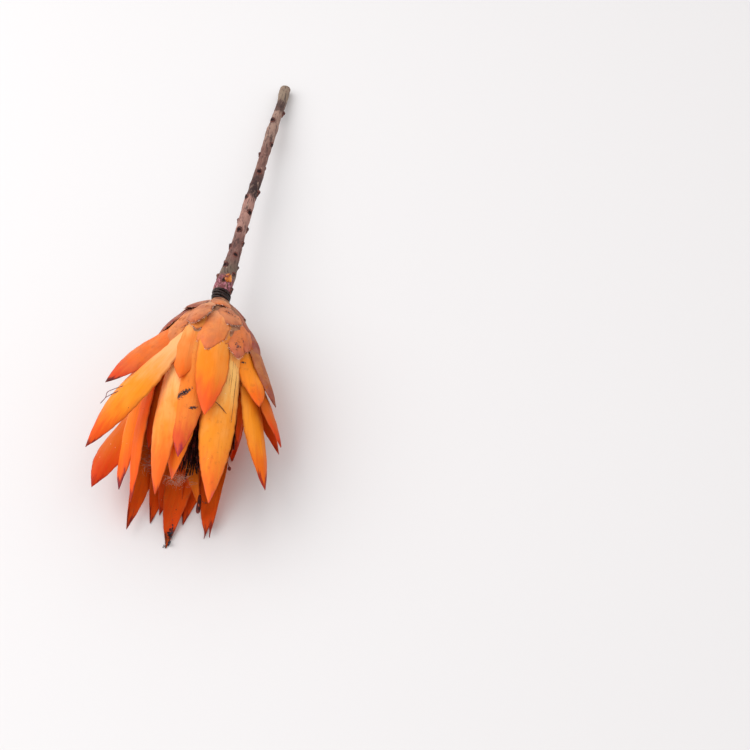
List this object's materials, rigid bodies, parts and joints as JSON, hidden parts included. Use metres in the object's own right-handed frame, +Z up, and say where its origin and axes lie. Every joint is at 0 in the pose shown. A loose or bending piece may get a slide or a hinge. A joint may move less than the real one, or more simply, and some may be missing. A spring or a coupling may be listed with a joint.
{
  "type": "dried sugarbush stem",
  "caption": "Dried protea-like flower head of overlapping pointed bracts round a core of fine florets, on a bare woody stem, lying on its side.",
  "frame": {"origin": "on the surface it lies on, in the small flat under the shoulder of the head, 32 mm from the neck", "axes": "+Z up, away from the surface; +Y from the head towards the stem's cut end; the head opens towards -Y"},
  "size_m": [0.0801, 0.2712, 0.0441],
  "materials": {
    "stem_bark": "dry mauve-brown bark with darker leaf scars, tan-grey at the cut end",
    "neck_bark": "almost black bark in fine rings",
    "bract": "stiff dried bract, satin golden orange turning red and purple-brown to the tip",
    "floret": "dark dry florets with pale hairs"
  },
  "bodies": {
    "root": {"stem": "stem_bark", "ringed_neck": "neck_bark", "flower_head": "bract", "florets": "floret"}
  },
  "joints": []
}
